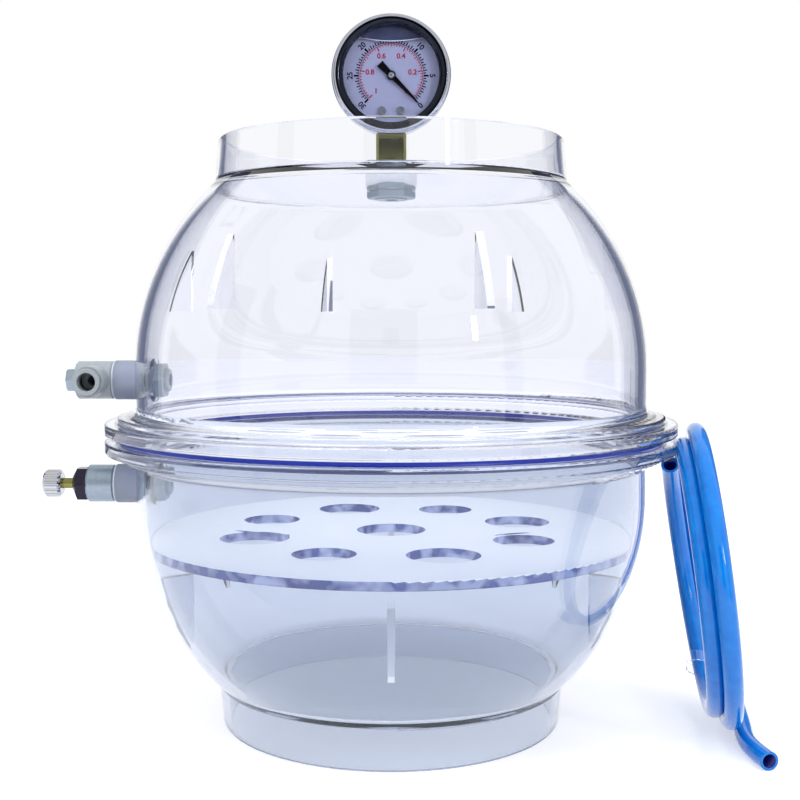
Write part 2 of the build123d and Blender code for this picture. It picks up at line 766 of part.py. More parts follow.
export_step(gauge_bourdon_tube.part, "parts/gauge_bourdon_tube.step")

tail_place = (sector_pivot[0] + sector_tail, sector_pivot[1])
link_span = (tip_place[0] - tail_place[0], tip_place[1] - tail_place[1])
link_middle = ((tip_place[0] + tail_place[0]) / 2, (tip_place[1] + tail_place[1]) / 2)
with BuildPart() as gauge_link:
    with BuildSketch(gauge_front.offset(link_back)):
        link_turn = degrees(atan2(link_span[1], link_span[0]))
        with Locations(Location((link_middle[0], link_middle[1], 0), (0, 0, link_turn))):
            SlotOverall(hypot(*link_span) + link_width, link_width)
    extrude(amount=link_thickness)
gauge_link.part.label = "gauge_link"
export_step(gauge_link.part, "parts/gauge_link.step")

# --- Pointer: a slim blade with a broad tail, pressed on the arbor
with BuildPart() as gauge_pointer:
    with BuildSketch(gauge_front.offset(pointer_back)):
        with Locations(Location((0, 0, 0), (0, 0, pointer_rest_angle))):
            Polygon(
                (pointer_length, 0),
                (pointer_length - pointer_point, pointer_width / 2),
                (0, pointer_width),
                (-pointer_tail, pointer_tail_width / 2),
                (-pointer_tail, -pointer_tail_width / 2),
                (0, -pointer_width),
                (pointer_length - pointer_point, -pointer_width / 2),
                align=None,
            )
        Circle(pointer_hub_radius)
    extrude(amount=pointer_thickness)
gauge_pointer.part.label = "gauge_pointer"
export_step(gauge_pointer.part, "parts/gauge_pointer.step")

# --- Hose port: hollow bolt through the dome's boss, gaskets and nut
gasket_front = boss_reach + gasket_thickness
nut_back = pad_reach - nut_thickness
elbow_start = gasket_front + seat_clearance
elbow_end = elbow_start + elbow_length
head_seat = elbow_end + seat_clearance
barrel_axis = elbow_start + elbow_length / 2
with BuildPart() as hose_port_stem:
    turn(
        [
            (thread_end, 0),
            (thread_end, thread_radius - thread_chamfer),
            (thread_end + thread_chamfer, thread_radius),
            (head_seat, thread_radius),
            (head_seat, 0),
        ],
        port_section(hose_port_z),
        port_axis(hose_port_z),
    )
    hexagon(port_face(hose_port_z).offset(head_seat), bolt_head_across_flats, bolt_head_length)
    chamfer(hose_port_stem.edges().group_by(Axis.X)[0], bolt_head_chamfer)
    bolt_bore_length = barrel_axis + bolt_bore_radius - thread_end
    drill(port_face(hose_port_z).offset(thread_end), bolt_bore_radius, bolt_bore_length)
    with Locations((-barrel_axis, 0, hose_port_z)):
        Cylinder(cross_bore_radius, 3 * thread_radius, rotation=(90, 0, 0), mode=Mode.SUBTRACT)
hose_port_stem.part.label = "hose_port_stem"
export_step(hose_port_stem.part, "parts/hose_port_stem.step")

with BuildPart() as hose_port_gasket:
    washer(port_face(hose_port_z).offset(boss_reach), gasket_radius, thread_radius + thread_clearance,
           gasket_thickness)
hose_port_gasket.part.label = "hose_port_gasket"
export_step(hose_port_gasket.part, "parts/hose_port_gasket.step")

with BuildPart() as hose_port_nut:
    hexagon(port_face(hose_port_z).offset(nut_back), nut_across_flats, nut_thickness)
    chamfer(hose_port_nut.edges().group_by(Axis.X)[-1], nut_chamfer)
    drill(port_face(hose_port_z).offset(nut_back), thread_radius + seat_clearance, nut_thickness)
hose_port_nut.part.label = "hose_port_nut"
export_step(hose_port_nut.part, "parts/hose_port_nut.step")

# --- Swivel elbow: a ring round the bolt and a barrel for the hose, facing -Y at rest
barrel_front = Plane(origin=(-barrel_axis, 0, hose_port_z), x_dir=(1, 0, 0), z_dir=(0, -1, 0))
tube_bore = hose_diameter / 2 + tube_clearance
mouth_radius = release_sleeve_radius + release_clearance
with BuildPart() as hose_elbow_body:
    turn(
        [
            (elbow_start, 0),
            (elbow_start, elbow_radius - elbow_chamfer),
            (elbow_start + elbow_chamfer, elbow_radius),
            (elbow_end - elbow_chamfer, elbow_radius),
            (elbow_end, elbow_radius - elbow_chamfer),
            (elbow_end, 0),
        ],
        port_section(hose_port_z),
        port_axis(hose_port_z),
    )
    with BuildSketch(barrel_front):
        Circle(barrel_radius)
    extrude(amount=barrel_reach)
    fillet(hose_elbow_body.edges().sort_by(Axis.Y)[0], barrel_round)
    drill(port_face(hose_port_z).offset(elbow_start), thread_radius + elbow_bore_clearance, elbow_length)
    drill(barrel_front, cross_bore_radius, barrel_reach)
    drill(barrel_front.offset(tube_stop), tube_bore, barrel_reach - tube_stop)
    drill(barrel_front.offset(collet_chamber_end), collet_chamber_radius,
          barrel_reach - collet_mouth_length - collet_chamber_end)
    drill(barrel_front.offset(collet_chamber_end), mouth_radius, barrel_reach - collet_chamber_end)
hose_elbow_body.part.label = "hose_elbow_body"
export_step(hose_elbow_body.part, "parts/hose_elbow_body.step")

release_back = barrel_reach + release_gap
sleeve_end = release_back - release_sleeve_length
with BuildPart() as hose_elbow_release_ring:
    washer(barrel_front.offset(sleeve_end), release_sleeve_radius, tube_bore, release_sleeve_length)
    washer(barrel_front.offset(release_back), release_flange_radius, tube_bore, release_flange_thickness)
    fillet(hose_elbow_release_ring.edges().group_by(Axis.Y)[0], release_round)
hose_elbow_release_ring.part.label = "hose_elbow_release_ring"
export_step(hose_elbow_release_ring.part, "parts/hose_elbow_release_ring.step")

grip_front = sleeve_end - release_travel - grip_gap
chamber_fit = collet_chamber_radius - collet_chamber_play
with BuildPart() as hose_elbow_grip:
    washer(barrel_front.offset(grip_front - grip_thickness), chamber_fit, tube_bore, grip_thickness)
hose_elbow_grip.part.label = "hose_elbow_grip"
export_step(hose_elbow_grip.part, "parts/hose_elbow_grip.step")

with BuildPart() as hose_elbow_seal:
    washer(barrel_front.offset(collet_chamber_end), chamber_fit, collet_chamber_radius - elbow_seal_cord,
           elbow_seal_cord)
    fillet(hose_elbow_seal.edges(), elbow_seal_round)
hose_elbow_seal.part.label = "hose_elbow_seal"
export_step(hose_elbow_seal.part, "parts/hose_elbow_seal.step")

# --- Vent valve: body through the bowl's boss, gasket and nut
body_front = gasket_front + vent_body_length
bonnet_front = body_front + bonnet_length
stem_bore = stem_radius + stem_clearance
needle_start = gasket_front - needle_depth
seal_seat = body_front - stem_seal_length
with BuildPart() as vent_valve_body:
    turn(
        [
            (thread_end, 0),
            (thread_end, thread_radius - thread_chamfer),
            (thread_end + thread_chamfer, thread_radius),
            (gasket_front, thread_radius),
            (gasket_front, vent_body_radius - vent_body_round),
            (gasket_front + vent_body_round, vent_body_radius),
            (body_front - vent_body_round, vent_body_radius),
            (body_front, vent_body_radius - vent_body_round),
            (body_front, 0),
        ],
        port_section(vent_port_z),
        port_axis(vent_port_z),
    )
    drill(port_face(vent_port_z).offset(thread_end), vent_seat_radius, body_front - thread_end)
    drill(port_face(vent_port_z).offset(needle_start - needle_gap), stem_bore,
          body_front - needle_start + needle_gap)
    drill(port_face(vent_port_z).offset(seal_seat), stem_seal_radius, stem_seal_length)
    with Locations((-(gasket_front + vent_hole_setback), 0, vent_port_z - vent_body_radius / 2)):
        Cylinder(vent_hole_radius, vent_body_radius, mode=Mode.SUBTRACT)
vent_valve_body.part.label = "vent_valve_body"
export_step(vent_valve_body.part, "parts/vent_valve_body.step")

with BuildPart() as vent_valve_gasket:
    washer(port_face(vent_port_z).offset(boss_reach), gasket_radius, thread_radius + thread_clearance,
           gasket_thickness)
vent_valve_gasket.part.label = "vent_valve_gasket"
export_step(vent_valve_gasket.part, "parts/vent_valve_gasket.step")

with BuildPart() as vent_valve_nut:
    hexagon(port_face(vent_port_z).offset(nut_back), nut_across_flats, nut_thickness)
    chamfer(vent_valve_nut.edges().group_by(Axis.X)[-1], nut_chamfer)
    drill(port_face(vent_port_z).offset(nut_back), thread_radius + seat_clearance, nut_thickness)
vent_valve_nut.part.label = "vent_valve_nut"
export_step(vent_valve_nut.part, "parts/vent_valve_nut.step")

# --- Vent valve: stem seal, bonnet, needle stem and knurled knob
with BuildPart() as vent_valve_stem_seal:
    washer(port_face(vent_port_z).offset(seal_seat), stem_seal_radius, stem_bore, stem_seal_length)
vent_valve_stem_seal.part.label = "vent_valve_stem_seal"
export_step(vent_valve_stem_seal.part, "parts/vent_valve_stem_seal.step")

corner_radius = bonnet_across_flats / sqrt(3)
cone_start = bonnet_front - bonnet_cone_length
with BuildPart() as vent_valve_bonnet:
    hexagon(port_face(vent_port_z).offset(body_front), bonnet_across_flats, bonnet_length)
    turn(
        [
            (body_front, 0),
            (body_front, corner_radius + bonnet_cone_margin),
            (cone_start, corner_radius + bonnet_cone_margin),
            (bonnet_front, bonnet_nose_radius),
            (bonnet_front, 0),
        ],
        port_section(vent_port_z),
        port_axis(vent_port_z),
        mode=Mode.INTERSECT,
    )
    drill(port_face(vent_port_z).offset(body_front), stem_bore, bonnet_length)
vent_valve_bonnet.part.label = "vent_valve_bonnet"
export_step(vent_valve_bonnet.part, "parts/vent_valve_bonnet.step")

knob_back = bonnet_front + knob_gap
knob_front = knob_back + knob_length
stem_end = knob_back + knob_socket_depth - stem_end_gap
with BuildPart() as vent_valve_stem:
    turn(
        [
            (needle_start, 0),
            (needle_start, needle_tip_radius),
            (needle_start + needle_length, stem_radius - needle_shoulder),
            (needle_start + needle_length, stem_radius),
            (stem_end, stem_radius),
            (stem_end, 0),
        ],
        port_section(vent_port_z),
        port_axis(vent_port_z),
    )
vent_valve_stem.part.label = "vent_valve_stem"
export_step(vent_valve_stem.part, "parts/vent_valve_stem.step")

with BuildPart() as vent_valve_knob:
    turn(
        [
            (knob_back, 0),
            (knob_back, knob_radius - knob_chamfer),
            (knob_back + knob_chamfer, knob_radius),
            (knob_front - knob_chamfer, knob_radius),
            (knob_front, knob_radius - knob_chamfer),
            (knob_front, 0),
        ],
        port_section(vent_port_z),
        port_axis(vent_port_z),
    )
    with BuildSketch(port_face(vent_port_z).offset(knob_back)):
        with PolarLocations(knob_radius, knob_flutes):
            Circle(knob_flute_radius)
    extrude(amount=knob_length, mode=Mode.SUBTRACT)
    drill(port_face(vent_port_z).offset(knob_back), stem_bore, knob_socket_depth)
vent_valve_knob.part.label = "vent_valve_knob"
export_step(vent_valve_knob.part, "parts/vent_valve_knob.step")

# --- Coil of hose: one ring with the outer shape of the turns
coil_up = Vector(-sin(radians(coil_lean)), 0, cos(radians(coil_lean)))
coil_near = Vector(-sin(radians(coil_yaw)), -cos(radians(coil_yaw)), 0)
coil_out = coil_up.cross(coil_near).normalized()
if coil_out.X < 0:
    coil_out = coil_out * -1
coil_centre = Vector(coil_centre_x, coil_centre_y, hose_diameter / 2 + coil_radius * cos(radians(coil_lean)))
half_across = coil_step_across * coil_turns / 2
coil_start_radius = coil_radius - coil_step_in * coil_turns
coil_plane = Plane(origin=coil_centre, x_dir=coil_up, z_dir=coil_up.cross(coil_out))
coil_axis = Axis(coil_centre, coil_out)
section_radius = hose_diameter / 2 + coil_section_play
flange_reach = seal_gap / 2 + flange_hub + coil_flange_margin
with BuildPart() as hose_coil:
    with BuildSketch(coil_plane) as coil_section:
        section_length = hypot(coil_radius - coil_start_radius, 2 * half_across)
        section_turn = degrees(atan2(2 * half_across, coil_radius - coil_start_radius))
        middle_radius = (coil_radius + coil_start_radius) / 2
        with Locations(Location((middle_radius, 0, 0), (0, 0, section_turn))):
            SlotOverall(section_length + 2 * section_radius, 2 * section_radius)
    revolve(axis=coil_axis)
    with BuildSketch(Plane.XY.offset(seal_height - flange_reach)):
        Circle(flange_radius + coil_flange_clearance)
    extrude(amount=2 * flange_reach, mode=Mode.SUBTRACT)
hose_coil.part.label = "hose_coil"
export_step(hose_coil.part, "parts/hose_coil.step")

# --- Tail of the hose: from the foot of the coil over the floor towards the front


def corner_radii(route):
    """Radius of the arc at each inner point: a share of the shorter run over the tangent of half the turn."""
    radii = []
    for before, corner, after in zip(route, route[1:], route[2:]):
        run_in = Vector(*corner) - Vector(*before)
        run_out = Vector(*after) - Vector(*corner)
        half_turn = radians(run_in.get_angle(run_out)) / 2
        radii.append(tail_arc_share * min(run_in.length, run_out.length) / tan(half_turn))
    return radii


tail_radii = corner_radii(tail_route)
with BuildPart() as hose_tail:
    with BuildLine() as tail_line:
        FilletPolyline(*tail_route, radius=tail_radii)
    tail_path = tail_line.wire()
    with BuildSketch(Plane(origin=tail_path @ 0, z_dir=tail_path % 0)):
        Circle(hose_diameter / 2)
    sweep(path=tail_path)
hose_tail.part.label = "hose_tail"
export_step(hose_tail.part, "parts/hose_tail.step")
tail_ratio = hose_tail.part.volume / (pi * hose_diameter**2 / 4 * tail_path.length)
coil_length = (coil_radius + coil_start_radius) / 2 * coil_turns * 2 * pi
print("tail radii", [round(radius, 1) for radius in tail_radii])
print("tail volume over section x length", round(tail_ratio, 4))
print("hose length", round(coil_length + tail_path.length, 1))

# --- Tie: a clear band round the turns
tie_up = coil_up * cos(radians(tie_angle)) + coil_near * sin(radians(tie_angle))
tie_along = coil_near * cos(radians(tie_angle)) - coil_up * sin(radians(tie_angle))
tie_plane = Plane(origin=coil_centre - tie_along * (tie_width / 2), x_dir=tie_up, z_dir=tie_along)
tie_slant = section_turn if tie_plane.y_dir.dot(coil_out) > 0 else -section_turn
with BuildPart() as hose_tie:
    with BuildSketch(tie_plane):
        with Locations(Location((middle_radius, 0, 0), (0, 0, tie_slant))):
            tie_inner = 2 * (section_radius + tie_play)
            tie_outer = tie_inner + 2 * tie_thickness
            SlotOverall(section_length + tie_outer, tie_outer)
            SlotOverall(section_length + tie_inner, tie_inner, mode=Mode.SUBTRACT)
    extrude(amount=tie_width)
hose_tie.part.label = "hose_tie"
export_step(hose_tie.part, "parts/hose_tie.step")
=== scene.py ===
"""Looks of the vacuum chamber: clear moulded halves, shelf, gauge, fittings and the loose coil of blue hose.

Metres. The chamber stands on the floor at the origin, its gauge faces -Y and its fittings point to -X."""

from math import cos, pi, radians, sin, sqrt

import bmesh
import bpy
from mathutils import Matrix, Vector


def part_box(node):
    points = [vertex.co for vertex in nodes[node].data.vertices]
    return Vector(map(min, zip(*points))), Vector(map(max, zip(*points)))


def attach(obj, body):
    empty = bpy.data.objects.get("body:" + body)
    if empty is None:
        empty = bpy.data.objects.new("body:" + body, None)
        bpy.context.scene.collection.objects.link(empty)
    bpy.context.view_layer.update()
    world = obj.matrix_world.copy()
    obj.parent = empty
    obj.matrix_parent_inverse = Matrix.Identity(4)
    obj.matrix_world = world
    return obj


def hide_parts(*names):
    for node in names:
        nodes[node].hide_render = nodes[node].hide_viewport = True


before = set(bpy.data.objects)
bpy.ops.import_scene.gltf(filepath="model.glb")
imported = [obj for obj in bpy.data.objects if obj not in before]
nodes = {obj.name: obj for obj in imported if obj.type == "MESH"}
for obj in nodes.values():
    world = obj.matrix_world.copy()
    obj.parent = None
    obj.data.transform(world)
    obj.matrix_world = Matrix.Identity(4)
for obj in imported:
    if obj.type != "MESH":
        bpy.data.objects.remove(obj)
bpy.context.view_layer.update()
mm = 0.001
scene = bpy.context.scene


# --- Small helpers for meshes and materials


def deselect_all():
    bpy.ops.object.select_all(action="DESELECT")


def linear(colour):
    """A six-digit sRGB hex colour as the linear RGBA that shaders take."""
    channels = [int(colour[place : place + 2], 16) / 255 for place in (1, 3, 5)]
    return [c / 12.92 if c <= 0.04045 else ((c + 0.055) / 1.055) ** 2.4 for c in channels] + [1.0]


def add_node(tree, kind, settings=None, **links):
    """Adds one node: settings by socket name or attribute, links as socket=(node, output), i0 as socket 0."""
    node = tree.nodes.new("ShaderNode" + kind)
    for name, value in (settings or {}).items():
        if name in node.inputs:
            node.inputs[name].default_value = value
        else:
            setattr(node, name, value)
    for name, source in links.items():
        numbered = name[0] == "i" and name[1:].isdigit()
        socket = node.inputs[int(name[1:]) if numbered else name.replace("_", " ")]
        tree.links.new(source[0].outputs[source[1]], socket)
    return node


def add_math(tree, operation, *terms):
    """Adds one Math node: a term is a number or (node, output)."""
    node = add_node(tree, "Math", {"operation": operation})
    for socket, term in zip(node.inputs, terms):
        if isinstance(term, tuple):
            tree.links.new(term[0].outputs[term[1]], socket)
        else:
            socket.default_value = term
    return node


def new_material(name):
    """An empty node material and its tree."""
    material = bpy.data.materials.new(name)
    material.use_nodes = True
    material.node_tree.nodes.clear()
    return material, material.node_tree


def finish_material(tree, surface, volume=None):
    """Links the surface shader, and the volume where there is one, to a new output."""
    output = tree.nodes.new("ShaderNodeOutputMaterial")
    tree.links.new(surface.outputs[0], output.inputs["Surface"])
    if volume:
        tree.links.new(volume.outputs[0], output.inputs["Volume"])


def mixed_colour(tree, first, second, factor):
    """A colour that goes from the first to the second with the factor, given as (node, output)."""
    node = add_node(tree, "Mix", {"data_type": "RGBA"}, Factor=factor)
    node.inputs[6].default_value = linear(first)
    node.inputs[7].default_value = linear(second)
    return node


def dress(material, *names):
    """Gives CAD nodes their material."""
    for name in names:
        mesh = nodes[name].data
        mesh.materials.clear()
        mesh.materials.append(material)


# --- Materials
seal_low, seal_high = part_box("flange_seal")
seam_height = (seal_low[2] + seal_high[2]) / 2
boss_start = 145.6 * mm
flange_reach = 17.5 * mm
boss_colour = "#b2bacb"
boss_haze = 0.45
boss_clearness = 0.45


def clear_plastic(name, tint, depth_tint, depth_density, ior=1.5):
    """Polished clear moulding that passes lamps straight through. Thick stretches take its depth tint.

    The bosses outside the wall, past the flanges, are milky."""
    material, tree = new_material(name)
    place = add_node(tree, "TexCoord")
    flow = add_node(tree, "TexNoise", {"Scale": 1 / (60 * mm), "Detail": 1.0}, Vector=(place, "Object"))
    gloss = add_node(tree, "MapRange", {"To Min": 0.0, "To Max": 0.02}, Value=(flow, "Fac"))
    where = add_node(tree, "SeparateXYZ", None, Vector=(place, "Object"))
    outside = add_math(tree, "LESS_THAN", (where, "X"), -boss_start)
    off_seam = add_math(tree, "SUBTRACT", (where, "Z"), seam_height)
    distance = add_math(tree, "ABSOLUTE", (off_seam, 0))
    clear_of_flange = add_math(tree, "GREATER_THAN", (distance, 0), flange_reach)
    boss = add_math(tree, "MULTIPLY", (outside, 0), (clear_of_flange, 0))
    frost_and_highlight = add_math(tree, "MULTIPLY_ADD", (boss, 0), boss_haze, (gloss, "Result"))
    clearness = add_node(tree, "MapRange", {"To Min": 1.0, "To Max": boss_clearness}, Value=(boss, 0))
    shade = mixed_colour(tree, tint, boss_colour, (boss, 0))
    glass = add_node(
        tree,
        "BsdfPrincipled",
        {"IOR": ior},
        Base_Color=(shade, 2),
        Roughness=(frost_and_highlight, 0),
        Transmission_Weight=(clearness, "Result"),
    )
    lamp_path = add_node(tree, "BsdfTransparent", {"Color": linear(tint)})
    light_path = add_node(tree, "LightPath")
    surface = add_node(
        tree, "MixShader", None, Fac=(light_path, "Is Shadow Ray"), i1=(glass, 0), i2=(lamp_path, 0)
    )
    absorption = add_node(tree, "VolumeAbsorption", {"Color": linear(depth_tint), "Density": depth_density})
    finish_material(tree, surface, absorption)
    return material


def milky_plastic(name, colour, edge_colour):
    """Clear sheet that looks milky on its flat faces, which glow a little with painted light, with deep blue,
    glassy cut edges.
    """
    material, tree = new_material(name)
    place = add_node(tree, "TexCoord")
    cloud = add_node(tree, "TexNoise", {"Scale": 1 / (25 * mm), "Detail": 2.0}, Vector=(place, "Object"))
    haze = add_node(tree, "MapRange", {"To Min": 0.1, "To Max": 0.22}, Value=(cloud, "Fac"))
    # Painted light: the flat faces glow to make up for the light the dome holds back from the shelf.
    painted_glow = {"Emission Color": linear("#f2f7ff"), "Emission Strength": 0.28}
    face = add_node(
        tree,
        "BsdfPrincipled",
        {"Base Color": linear(colour), "Transmission Weight": 0.12, "IOR": 1.49, **painted_glow},
        Roughness=(haze, "Result"),
    )
    streaks = add_node(tree, "TexNoise", {"Scale": 1 / (9 * mm), "Detail": 1.0}, Vector=(place, "Object"))
    edge_tone = add_node(tree, "ValToRGB", None, Fac=(streaks, "Fac"))
    tones = ((0.42, edge_colour), (0.62, "#aeb8e2"))
    for stop, (position, tone) in zip(edge_tone.color_ramp.elements, tones):
        stop.position = position
        stop.color = linear(tone)
    edge = add_node(
        tree,
        "BsdfPrincipled",
        {"Transmission Weight": 0.45, "Roughness": 0.08, "IOR": 1.49},
        Base_Color=(edge_tone, "Color"),
    )
    facing = add_node(tree, "SeparateXYZ", None, Vector=(place, "Normal"))
    upright = add_math(tree, "ABSOLUTE", (facing, "Z"))
    flat = add_math(tree, "GREATER_THAN", (upright, 0), 0.7)
    surface = add_node(tree, "MixShader", None, Fac=(flat, 0), i1=(edge, 0), i2=(face, 0))
    finish_material(tree, surface)
    return material


def plain_surface(name, colour, dark, roughness, grain_mm, metallic=0.0, spread=0.08, bump=0.1, **extra):
    """A surface whose colour and gloss vary softly with a grain of a stated size."""
    material, tree = new_material(name)
    place = add_node(tree, "TexCoord")
    scale = 1 / (grain_mm * mm)
    grain = add_node(tree, "TexNoise", {"Scale": scale, "Detail": 3.0}, Vector=(place, "Object"))
    shade = mixed_colour(tree, dark, colour, (grain, "Fac"))
    gloss = add_node(
        tree,
        "MapRange",
        {"To Min": max(roughness - spread, 0.02), "To Max": roughness + spread},
        Value=(grain, "Fac"),
    )
    relief = add_node(tree, "Bump", {"Strength": bump, "Distance": 0.02 * mm}, Height=(grain, "Fac"))
    surface = add_node(
        tree,
        "BsdfPrincipled",
        {"Metallic": metallic, **extra},
        Base_Color=(shade, 2),
        Roughness=(gloss, "Result"),
        Normal=(relief, "Normal"),
    )
    finish_material(tree, surface)
    return material


dome_polycarbonate = clear_plastic("clear_polycarbonate_lid", "#f8f9fd", "#b9bfdf", 3.0)
# Painted shade: the bowl is the lid's plastic with a darker tint and a denser depth tint, for the shade on
# the lower chamber.
shaded_bowl_polycarbonate = clear_plastic("polycarbonate_bowl_painted_shade", "#d4dae4", "#98a6c8", 6.0)
milky_acrylic = milky_plastic("milky_acrylic", "#fcfdff", "#1d2f86")
dull = {"Specular IOR Level": 0.08}
window_glass = clear_plastic("flat_window_glass", "#f2f4fb", "#dfe8e6", 8.0, 1.38)
clear_film = clear_plastic("polyethylene_film", "#f6f9ff", "#e8eefc", 20.0, 1.5)
gasket_silicone = plain_surface("translucent_silicone", "#d5d9de", "#c3c8cf", 0.35, 3)
blue_silicone = plain_surface("blue_silicone", "#0a2ea6", "#072388", 0.32, 4)
# Painted highlight: the front fin's skin is near white and glows.
fin_painted_highlight = plain_surface("fin_painted_highlight", "#fdfdff", "#f4f6fc", 0.5, 2,
                             **{"Emission Color": linear("#ffffff"), "Emission Strength": 0.3})
nickel = plain_surface("nickel_plated_brass", "#a3b0bb", "#8b99a6", 0.34, 2, metallic=0.7)
grey_moulding = plain_surface("grey_polyamide", "#a9b0b2", "#99a1a4", 0.36, 1.5)
stainless = plain_surface("polished_stainless", "#b9bcc6", "#a4a8b4", 0.1, 3, metallic=1.0, spread=0.03)
brass = plain_surface("turned_brass", "#8f8c55", "#6f6d40", 0.2, 1.5, metallic=1.0)
enamel = plain_surface("white_dial_enamel", "#aeb1cd", "#a3a6c4", 0.4, 2)
black_print = plain_surface("black_dial_print", "#050508", "#030306", 0.45, 0.5, **dull)
red_print = plain_surface("red_dial_print", "#b80f38", "#a00c30", 0.45, 0.5, **dull)
# Painted shade for the air bubble over the gauge's filling.
air_painted_shade = plain_surface("air_bubble_painted_shade", "#484d69", "#3a3f5b", 0.15, 4)
white_line = plain_surface("fill_line_glint", "#eef0fa", "#dfe2f2", 0.2, 2)
# Painted shade for the bezel's inner slope.
bezel_shade_steel = plain_surface("bezel_slope_painted_shade", "#2b2e38", "#1d2029", 0.12, 2, metallic=1.0, spread=0.04)
black_enamel = plain_surface("black_pointer_enamel", "#060608", "#040406", 0.35, 1, **dull)
black_rubber = plain_surface("black_nitrile_rubber", "#17181c", "#101115", 0.5, 1)
steel = plain_surface("turned_steel", "#a2a7b0", "#8a8f99", 0.2, 1, metallic=1.0)
chrome = plain_surface("bright_chrome_plate", "#c4c5c8", "#b4b6ba", 0.1, 2, metallic=1.0, spread=0.03)
# Painted reflection: the bonnet is chrome, darkened for the dark surroundings that it mirrors.
chrome_dark_reflection = plain_surface("chrome_painted_dark_reflection", "#3b3744", "#2a2733", 0.1, 2, metallic=1.0, spread=0.03)
blue_hose = plain_surface("blue_polyurethane", "#008ae0", "#0268cc", 0.1, 6, spread=0.03,
                          **{"Coat Weight": 0.4, "Specular IOR Level": 0.25})
# Painted shade inside the hose's bore.
navy_bore = plain_surface("shaded_polyurethane", "#0a1c8c", "#07146e", 0.3, 3)

dress(dome_polycarbonate, "upper_dome")
dress(shaded_bowl_polycarbonate, "lower_bowl")
dress(milky_acrylic, "shelf_plate")
dress(window_glass, "gauge_window")
dress(clear_film, "hose_tie")
dress(blue_silicone, "flange_seal")
dress(gasket_silicone, "gauge_port_gasket", "hose_port_gasket", "vent_valve_gasket")
dress(nickel, "gauge_port_bush", "gauge_port_nut", "hose_port_stem", "hose_port_nut", "vent_valve_body",
      "vent_valve_nut")
dress(grey_moulding, "hose_elbow_body", "hose_elbow_release_ring")
dress(stainless, "gauge_case", "gauge_bezel")
dress(brass, "gauge_socket", "gauge_movement_frame", "gauge_pinion", "gauge_sector", "gauge_bourdon_tube",
      "gauge_link", "vent_valve_stem")
dress(enamel, "gauge_dial")
dress(black_enamel, "gauge_pointer")
dress(black_rubber, "gauge_fill_plug", "gauge_window_gasket", "hose_elbow_seal", "vent_valve_stem_seal")
dress(steel, "gauge_dial_screws", "hose_elbow_grip")
dress(chrome, "vent_valve_knob")
dress(chrome_dark_reflection, "vent_valve_bonnet")

# --- Gauge: print on the dial, a dark ring of painted shade inside the bezel, filling line and painted shade for the air over it
gauge_low, gauge_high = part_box("gauge_bezel")
dial_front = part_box("gauge_dial")[0][1]
window_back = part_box("gauge_window")[1][1]
bezel_front = gauge_low[1]
gauge_centre = Vector((0, 0, (gauge_low[2] + gauge_high[2]) / 2))
print_lift = 0.05 * mm
print_thickness = 0.06 * mm
zero_angle = -45.0
full_sweep = 270.0
tick_inner = 18.1
red_arc_radius = 17.3
black_numbers_radius = 22.9
red_numbers_radius = 12.0
letter_swell = 0.1 * mm


def gauge_matrix(depth):
    """From a drawing in X and Y to the gauge's front at this Y."""
    return Matrix.Translation((gauge_centre.x, depth, gauge_centre.z)) @ Matrix.Rotation(radians(90), 4, "X")


def mesh_piece(name, material, build, smooth=True):
    """A new mesh object at the origin, its faces made by build(bm)."""
    mesh = bpy.data.meshes.new(name)
    bm = bmesh.new()
    build(bm)
    bmesh.ops.recalc_face_normals(bm, faces=bm.faces)
    bm.to_mesh(mesh)
    bm.free()
    mesh.materials.append(material)
    for polygon in mesh.polygons:
        polygon.use_smooth = smooth
    piece = bpy.data.objects.new(name, mesh)
    scene.collection.objects.link(piece)
    return piece


def slab(bm, corners, matrix, thickness):
    """A thin plate over an outline given in millimetres."""
    low = [bm.verts.new(matrix @ Vector((x * mm, y * mm, 0))) for x, y in corners]
    high = [bm.verts.new(matrix @ Vector((x * mm, y * mm, thickness))) for x, y in corners]
    bm.faces.new(low)
    bm.faces.new(high)
    for number in range(len(corners)):
        following = (number + 1) % len(corners)
        bm.faces.new((low[number], low[following], high[following], high[number]))


def ring(bm, inner, outer, matrix, thickness, start, sweep, steps=96):
    """A thin flat arc in millimetres, as one closed strip."""
    turns = [radians(start + sweep * step / steps) for step in range(steps + 1)]
    corners = [(inner * cos(turn), inner * sin(turn)) for turn in turns]
    corners += [(outer * cos(turn), outer * sin(turn)) for turn in reversed(turns)]
    slab(bm, corners, matrix, thickness)


def tick(bm, angle, inner, outer, width, matrix):
    """A short bar of this width along a ray of the dial."""
    along = Vector((cos(radians(angle)), sin(radians(angle))))
    side = Vector((-along.y, along.x)) * width / 2
    corners = [along * inner - side, along * outer - side, along * outer + side, along * inner + side]
    slab(bm, [(corner.x, corner.y) for corner in corners], matrix, print_thickness)


def dial_text(text, angle, radius, turn, size, material):
    """A number on the dial, as a mesh at the origin."""
    curve = bpy.data.curves.new("dial_number", "FONT")
    curve.body = text
    curve.size = size * mm
    curve.align_x = "CENTER"
    curve.align_y = "CENTER"
    curve.extrude = print_thickness / 2
    curve.offset = letter_swell
    holder = bpy.data.objects.new("dial_number", curve)
    scene.collection.objects.link(holder)
    mesh = bpy.data.meshes.new_from_object(holder)
    bpy.data.objects.remove(holder)
    spot = Matrix.Translation((radius * mm * cos(radians(angle)), radius * mm * sin(radians(angle)), 0))
    mesh.transform(gauge_matrix(dial_front - print_lift) @ spot @ Matrix.Rotation(radians(turn), 4, "Z"))
    mesh.materials.clear()
    mesh.materials.append(material)
    piece = bpy.data.objects.new("dial_number", mesh)
    scene.collection.objects.link(piece)
    return piece


def join(pieces, name):
    """One object of several, under this name."""
    deselect_all()
    for piece in pieces:
        piece.select_set(True)
    bpy.context.view_layer.objects.active = pieces[0]
    bpy.ops.object.join()
    pieces[0].name = name
    return pieces[0]


